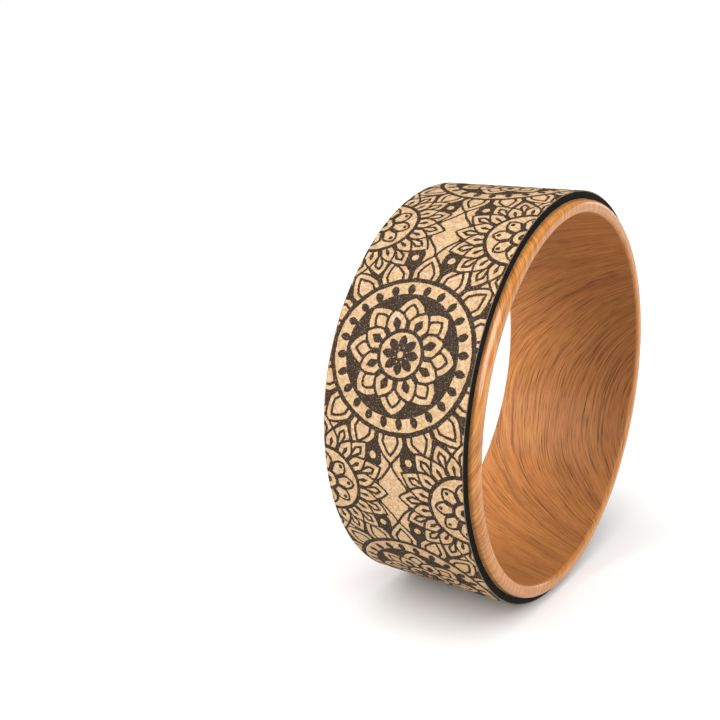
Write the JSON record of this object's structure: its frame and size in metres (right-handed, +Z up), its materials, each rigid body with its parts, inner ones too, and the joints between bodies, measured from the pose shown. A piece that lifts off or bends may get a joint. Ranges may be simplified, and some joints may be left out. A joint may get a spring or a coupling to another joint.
{
  "type": "yoga wheel",
  "caption": "Open yoga wheel: a rigid wood-look plastic hoop with rounded lips, wrapped in a black foam cushion and a printed cork cover.",
  "frame": {"origin": "centre of the wheel, on its axis, halfway between its two rims", "axes": "+Y along the wheel's axis, +Z up as the wheel stands on its tread, +X to the right seen from the -Y rim"},
  "size_m": [0.32, 0.125, 0.32],
  "materials": {
    "wood_look_plastic": "satin clear coat over a printed wood grain",
    "glue": "dried contact adhesive",
    "black_foam": "matte fine-celled foam",
    "printed_cork": "matte cork sheet with a charcoal print"
  },
  "bodies": {
    "root": {"hoop": "wood_look_plastic", "hoop_adhesive": "glue", "foam_cushion": "black_foam", "cork_adhesive": "glue", "cork_cover": "printed_cork"}
  },
  "joints": []
}
